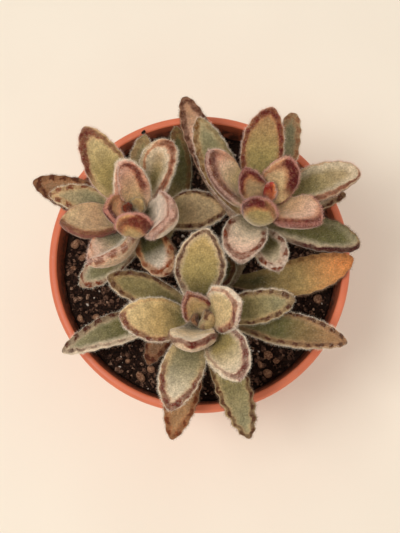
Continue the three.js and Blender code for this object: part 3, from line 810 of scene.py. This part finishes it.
def soil_piece(material):
    """The bed of soil, with a lumpy top, down to the pot's floor."""
    rng = np.random.default_rng(SEEDS["soil"])
    gap, count = SOIL["gap"], SOIL["rings"]
    turn = full_turn(SOIL["facets"])
    edge = pot_inside(SOIL["top"]) - gap
    bottom = POT["floor"] + gap
    shape = [(pot_inside(z) - gap, z, False) for z in (bottom, SHOULDER)]
    shape += [(edge * (1 - k / count), SOIL["top"] - SOIL["sunk"], True) for k in range(count)]
    rings = []
    for radius, z, lumpy in shape:
        x, y = np.cos(turn) * radius, np.sin(turn) * radius
        lumps = rng.normal(0, SOIL["lumps"], len(turn)) if lumpy else 0
        rings.append(np.stack([x, y, z + lumpy * soil_wave(x, y) + lumps], -1))
    points = np.concatenate([*rings, [(0, 0, bottom), (0, 0, SOIL["top"])]])
    piece = mesh_piece("soil_bed", points, tube_faces(len(rings), len(turn)), material)
    finish_piece(piece, "soil", "soil")


PHASES = 6.3  # the range of a random phase or heading
PEBBLES = 12  # how many different shapes the grains of a piece have
BULGES = 6  # waves that knobble each of them


def pebble_shapes(rng, detail, rough):
    """A few knobbly unit pebbles as points, and the triangles that they share."""
    ball = bmesh.new()
    bmesh.ops.create_icosphere(ball, subdivisions=detail, radius=1)
    points = np.array([v.co[:] for v in ball.verts])
    faces = np.array([[v.index for v in f.verts] for f in ball.faces])
    ball.free()
    shapes = []
    for _ in range(PEBBLES):
        bulge = np.zeros(len(points))
        for _ in range(BULGES):
            axis = rng.normal(size=3)
            bulge += np.sin(points @ (axis * 1.6) + rng.random() * PHASES) / BULGES
        stretch = rng.uniform(0.55, 1.2, 3)
        shapes.append(points * (1 + rough * 2 * bulge)[:, None] * stretch)
    return shapes, faces


def random_turns(rng, count):
    """Random rotation matrices."""
    w, x, y, z = unit(rng.normal(size=(count, 4))).T
    rows = [
        [1 - 2 * (y * y + z * z), 2 * (x * y - z * w), 2 * (x * z + y * w)],
        [2 * (x * y + z * w), 1 - 2 * (x * x + z * z), 2 * (y * z - x * w)],
        [2 * (x * z - y * w), 2 * (y * z + x * w), 1 - 2 * (x * x + y * y)],
    ]
    return np.moveaxis(np.array(rows), 2, 0)


def scatter_piece(name, places, sizes, material, seed, detail=1, rough=0.5, smooth=False):
    """Pebbles of those sizes at those places, in one piece."""
    rng = np.random.default_rng(seed)
    shapes, faces = pebble_shapes(rng, detail, rough)
    turns = random_turns(rng, len(places))
    points, all_faces = [], []
    for k, (place, size) in enumerate(zip(places, sizes)):
        shape = shapes[k % len(shapes)]
        all_faces.append(faces + k * len(shape))
        points.append(shape @ turns[k].T * size + place)
    piece = mesh_piece(name, np.concatenate(points), np.concatenate(all_faces).tolist(), material, smooth)
    finish_piece(piece, "soil")


LIFT = -0.3  # of the grit, against the soil's mean top


def on_soil(rng, sizes, raised):
    """Random places on the soil for pebbles of those sizes, each raised by a share of its size."""
    distance = (pot_inside(SOIL["top"]) - SOIL["gap"] - 0.1 - sizes) * np.sqrt(rng.random(len(sizes)))
    angle = rng.random(len(sizes)) * 2 * np.pi
    x, y = np.cos(angle) * distance, np.sin(angle) * distance
    return np.stack([x, y, SOIL["top"] + soil_wave(x, y) + sizes * raised + LIFT], -1)


LIP_CRUMB = dict(place=(-24.5, 57.4, 112.4), size=1.1)  # a bit of soil left on the pot's lip
# Each kind's count, smallest and largest size, the share of that by which it is raised, and its two tones.
CRUMBS = dict(
    black=(2200, 0.4, 1.7, 0.0, (8, 4, 3), (72, 45, 34)),
    brown=(2600, 0.3, 1.4, 0.1, (36, 21, 15), (142, 104, 84)),
    tan=(700, 0.3, 1.2, 0.3, (72, 44, 32), (204, 162, 134)),
    pale=(240, 0.2, 0.7, 0.8, (206, 184, 166), (240, 228, 214)),
)
GRAIN_RAISED = 0.15  # as a share of its radius


def add_soil():
    soil_piece(soil_material("soil_dark", (12, 6, 4), (60, 37, 26)))
    for seed, (kind, (count, small, large, raised, *tones)) in enumerate(CRUMBS.items(), SEEDS["crumbs"]):
        name = f"crumbs_{kind}"
        rng = np.random.default_rng(seed)
        sizes = small + (large - small) * rng.random(count) ** 2
        places = on_soil(rng, sizes, raised)
        scatter_piece(name, places, sizes, soil_material(name, *tones), seed)
    x, y, radius = np.array(GRAINS, float).T
    places = np.stack([x, y, SOIL["top"] + soil_wave(x, y) + radius * GRAIN_RAISED], -1)
    pumice = soil_material("pumice", (112, 72, 52), (192, 148, 116), 1200.0)
    crumb = soil_material("crumb", (8, 5, 4), (40, 28, 22))
    scatter_piece("lip_crumb", [LIP_CRUMB["place"]], [LIP_CRUMB["size"]], crumb, SEEDS["lip_crumb"])
    scatter_piece(
        "pumice_grains", places, radius, pumice, SEEDS["grains"], detail=3, rough=0.22, smooth=True
    )


# ---- stems ----

# The scars of lost leaves: the first and last place for one, how far apart they are, their turn round the
# stem, their height along it and width round it, the ring below each, and how far they and the bark rise.
SCAR = dict(
    first=0.03, last=0.95, apart=0.055, more=0.03, turn=2.4, tall=0.022, wide=0.55, ring=0.25,
    ring_below=0.02, ring_tall=0.012, raised=0.28, bark=0.03,
)


def stem_scars(rng, place, angle):
    """How much of a scar there is at each place along a stem and angle round it."""
    scar = np.zeros((len(place), len(angle)))
    at = SCAR["first"]
    heading = rng.random() * PHASES
    while at < SCAR["last"]:
        away = np.abs((angle[None] - heading + np.pi) % (2 * np.pi) - np.pi)
        scar += np.exp(-(((place - at) / SCAR["tall"]) ** 2) - (away / SCAR["wide"]) ** 2)
        ring = np.exp(-(((place - at + SCAR["ring_below"]) / SCAR["ring_tall"]) ** 2))
        scar += SCAR["ring"] * ring
        at += SCAR["apart"] + SCAR["more"] * rng.random()
        heading += SCAR["turn"]
    return scar


def stem_piece(side, stem, material):
    """A stem with the scars of its lost leaves, and the skin that its hairs grow on."""
    rng = np.random.default_rng(SEEDS["bark"] + len(side))
    t = np.linspace(0, 1, STEM["rings"])
    centre = stem_point(stem, t)
    tangent = unit(np.gradient(centre, axis=0))
    roots = STEM["root_rings"]
    root = np.linspace(STEM["root_depth"], STEM["root_top"], roots)[:, None] * np.array([0, 0, -1.0])
    centre = np.concatenate([np.array(stem["foot"], float) + root, centre])
    tangent = np.concatenate([np.tile([0, 0, 1.0], (roots, 1)), tangent])
    taper = np.concatenate([np.linspace(STEM["root_taper"], 1, roots), 1 - (1 - STEM["top_taper"]) * t])
    right = unit(np.cross([0, 1.0, 0], tangent))
    front = np.cross(tangent, right)

    angle = full_turn(STEM["sides"])
    place = np.concatenate([np.linspace(-0.4, 0, roots), t])[:, None]
    scar = stem_scars(rng, place, angle)
    bump = SCAR["raised"] * scar + rng.normal(0, SCAR["bark"], scar.shape)
    reach = taper[:, None] * stem["radius"] + bump
    rings = (
        centre[:, None]
        + right[:, None] * (np.cos(angle) * reach)[..., None]
        + front[:, None] * (np.sin(angle) * reach)[..., None]
    )
    dome = centre[-1] + tangent[-1] * STEM["dome"]
    points = np.concatenate([rings.reshape(-1, 3), [centre[0], dome]])
    piece = mesh_piece(f"stem_{side}_bark", points, tube_faces(*rings.shape[:2]), material)
    fresh = np.broadcast_to(np.clip(place, 0, 1), scar.shape)
    scar = np.clip(np.append(scar.ravel(), [0, 0]), 0, 1)
    set_attributes(piece, scar=scar, fresh=np.append(fresh.ravel(), [0, 1]))
    finish_piece(piece, "stem", f"stem_{side}")
    normals = (rings - centre[:, None]) / reach[..., None]
    lean = np.broadcast_to(tangent[:, None], rings.shape)
    return dict(rings=rings[roots:], normals=normals[roots:], lean=lean[roots:])


# ---- hairs ----

HAIR_TONES = dict(
    cream=(250, 236, 216), blush=(234, 204, 188), rose=(218, 164, 148), mauve=(176, 116, 104),
    sage=(190, 180, 152), rust=(86, 36, 30), bark=(142, 114, 92),
)
# The hairs of a rim whose tone has no hairs of its own name.
RIM_HAIRS = dict(maroon="bark", fawn="bark", tan="bark", milk="cream")

# A hair's usual length and its radius at the root, how far it lies along the skin, and how far it strays.
RIM_HAIR = dict(length=1.05, radius=0.028, tilt=0.25, spread=0.45)
SHORT_HAIR = dict(length=0.6, radius=0.03, tilt=0.9, spread=0.35)
STEM_HAIR = dict(length=0.7, radius=0.045, tilt=0.4, spread=0.4)
HAIRS = dict(rim=1700, short=1400, stem=2200)  # how many, on a leaf of HAIRS_AREA or on a stem
HAIRS_AREA = 500
HAIR_ROOT = 0.12  # how deep a hair starts
THIRD = 2.0944  # of a turn, between the corners of a hair's root


def grid_normals(rings):
    """Outward directions of a ringed surface."""
    around = np.roll(rings, -1, axis=1) - np.roll(rings, 1, axis=1)
    along = np.gradient(rings, axis=0)
    normals = np.cross(around, along)
    return normals / np.maximum(np.linalg.norm(normals, axis=2, keepdims=True), 1e-9)


def grow_hairs(rng, grid, count, weight, length, radius, tilt, spread):
    """Hairs on a ringed surface, each a slim closed spike. weight says how likely each point bears one."""
    rings = grid["rings"]
    rows, sides = rings.shape[0] - 1, rings.shape[1]
    after = np.roll(rings, -1, axis=1)
    area = np.linalg.norm(np.cross(after[:-1] - rings[:-1], rings[1:] - rings[:-1]), axis=2)
    chance = (area * weight[:-1]).ravel()
    cell = rng.choice(rows * sides, count, p=chance / chance.sum())
    row, side = cell // sides, cell % sides
    a, b = rng.random(count)[:, None], rng.random(count)[:, None]

    def sample(values):
        following = np.roll(values, -1, axis=1)
        low = values[row, side] * (1 - b) + following[row, side] * b
        high = values[row + 1, side] * (1 - b) + following[row + 1, side] * b
        return low * (1 - a) + high * a

    root, out, lean = (sample(grid[key]) for key in ("rings", "normals", "lean"))
    aim = unit(out + lean * tilt + rng.normal(0, spread, (count, 3)))
    long = length * (0.6 + 0.8 * rng.random(count))[:, None]
    across = unit(np.cross(aim, rng.normal(size=(count, 3))))
    other = np.cross(aim, across)
    foot = root - aim * HAIR_ROOT
    corners = [
        foot + radius * (across * math.cos(k * THIRD) + other * math.sin(k * THIRD)) for k in range(3)
    ]
    points = np.stack([*corners, root + aim * long], 1).reshape(-1, 3)
    return points, sample(grid["depth"][..., None])[:, 0] if "depth" in grid else None


SPIKE = np.array([[0, 1, 3], [1, 2, 3], [2, 0, 3], [2, 1, 0]])  # a hair's faces, its point last


def hair_piece(name, spikes, material):
    points = np.concatenate(spikes)
    faces = (SPIKE[None] + 4 * np.arange(len(points) // 4)[:, None, None]).reshape(-1, 3)
    finish_piece(mesh_piece(name, points, faces.tolist(), material, smooth=False), "leaf")


def leaf_hairs(rng, leaf, look, surface):
    """A leaf's hairs, sorted by colour: long ones round the margin and short ones over the faces."""
    rings, margin = surface["rings"], surface["margin"]
    grid = dict(
        rings=rings, normals=grid_normals(rings), depth=margin,
        lean=np.broadcast_to(surface["along"][:, None], rings.shape),
    )
    size = leaf["length"] * leaf["width"] / HAIRS_AREA
    rim_lean = np.clip(1.1 + look["rim_lean"] * surface["across"], 0.1, 1)
    bare = 0.75 * look["rim_tip"] * ramp(surface["u"][:, None], 0.88, 0.08)
    rim_weight = np.exp(-((margin / 0.9) ** 2)) * (rim_lean * (1 - bare))
    rim, _ = grow_hairs(rng, grid, int(HAIRS["rim"] * size**0.5), rim_weight, **RIM_HAIR)
    upper = np.where(surface["lift"] > -0.1, 1.0, 0.35)[None] * np.ones_like(margin)
    short, depth = grow_hairs(rng, grid, int(HAIRS["short"] * size), upper, **SHORT_HAIR)
    banded = np.abs(depth - look["at"]) < look["band_wide"] * 1.2
    banded &= rng.random(len(depth)) < 0.9
    spikes = short.reshape(-1, 4, 3)
    return [
        (RIM_HAIRS.get(look["rim"], look["rim"]), rim),
        ("rust", spikes[banded].reshape(-1, 3)),
        (look["fuzz"], spikes[~banded].reshape(-1, 3)),
    ]


# ---- the plant ----


def stem_leaves(side):
    """Each leaf of a stem: its name, the node that it stands for, its sizes and its look."""
    for k, (leaf, look) in enumerate(zip(LEAVES[side], LOOKS[side]), 1):
        name = node = f"leaf_{side}_{k:02d}"
        if k > OPEN_LEAVES:
            name, node = f"bud_{side}_{k - OPEN_LEAVES}", f"stem_{side}"
        yield name, node, leaf, look


def add_plant():
    felt = felt_material()
    bark = stem_material()
    hair = {tone: hair_material(f"hair_{tone}", colour) for tone, colour in HAIR_TONES.items()}
    for s, (side, stem) in enumerate(STEMS.items()):
        spikes = {tone: [] for tone in HAIR_TONES}
        for k, (name, node, leaf, look) in enumerate(stem_leaves(side)):
            rng = np.random.default_rng(SEEDS["leaf"] * s + k)
            surface = leaf_surface(stem, leaf, look, rng)
            finish_piece(leaf_piece(f"{name}_felt", leaf, look, surface, felt), "leaf", node)
            for tone, points in leaf_hairs(rng, leaf, look, surface):
                spikes[tone].append(points)
        grid = stem_piece(side, stem, bark)
        rng = np.random.default_rng(SEEDS["fuzz"] + s)
        weight = np.ones(grid["rings"].shape[:2])
        fuzz, _ = grow_hairs(rng, grid, HAIRS["stem"], weight, **STEM_HAIR)
        spikes["sage"].append(fuzz)
        for tone in filter(spikes.get, spikes):
            hair_piece(f"hairs_{side}_{tone}", spikes[tone], hair[tone])


# ---- floor, light and camera ----

CAMERA = dict(distance=600, tilt=10, lens=94.15, sensor=36)
AIM = (0.2, -2.2, 111.6)  # the point that the camera looks at, in the plane of the rim
KEY = dict(place=(-330, -120, 1150), size=330, power=5.3, colour=(1.0, 0.985, 0.96))
WORLD = dict(colour=(1.0, 0.965, 0.92, 1), strength=0.68)


def aim(holder, place, target):
    """Puts a camera or a light at place, pointing at target."""
    holder.location = place * MM
    holder.rotation_euler = (target - place).to_track_quat("-Z", "Y").to_euler()


def add_camera():
    camera = bpy.data.cameras.new("camera")
    camera.sensor_fit = "VERTICAL"
    camera.sensor_height = CAMERA["sensor"]
    camera.lens = CAMERA["lens"]
    camera.clip_start = 0.05
    tilt = math.radians(CAMERA["tilt"])
    place = Vector((0, -math.sin(tilt), math.cos(tilt))) * CAMERA["distance"]
    place.z += POT["height"]
    holder = add_object("camera", camera)
    aim(holder, place, Vector(AIM))
    bpy.context.scene.camera = holder


def add_light():
    lamp = bpy.data.lights.new("key", "AREA")
    lamp.shape = "DISK"
    lamp.size = KEY["size"] * MM
    lamp.energy = KEY["power"]
    lamp.color = KEY["colour"]
    aim(add_object("key", lamp), Vector(KEY["place"]), Vector((0, 0, POT["height"])))
    world = bpy.data.worlds.new("studio")
    world.use_nodes = True
    inputs = world.node_tree.nodes["Background"].inputs
    inputs["Color"].default_value = WORLD["colour"]
    inputs["Strength"].default_value = WORLD["strength"]
    bpy.context.scene.world = world


def add_floor():
    half = 3000
    corners = [(-half, -half, 0), (half, -half, 0), (half, half, 0), (-half, half, 0)]
    mesh_piece("floor", corners, [(0, 1, 2, 3)], floor_material(), smooth=False)


bpy.context.scene.view_settings.view_transform = "Standard"
add_camera()
add_light()
add_floor()
pot_piece(pot_material())
add_soil()
add_plant()
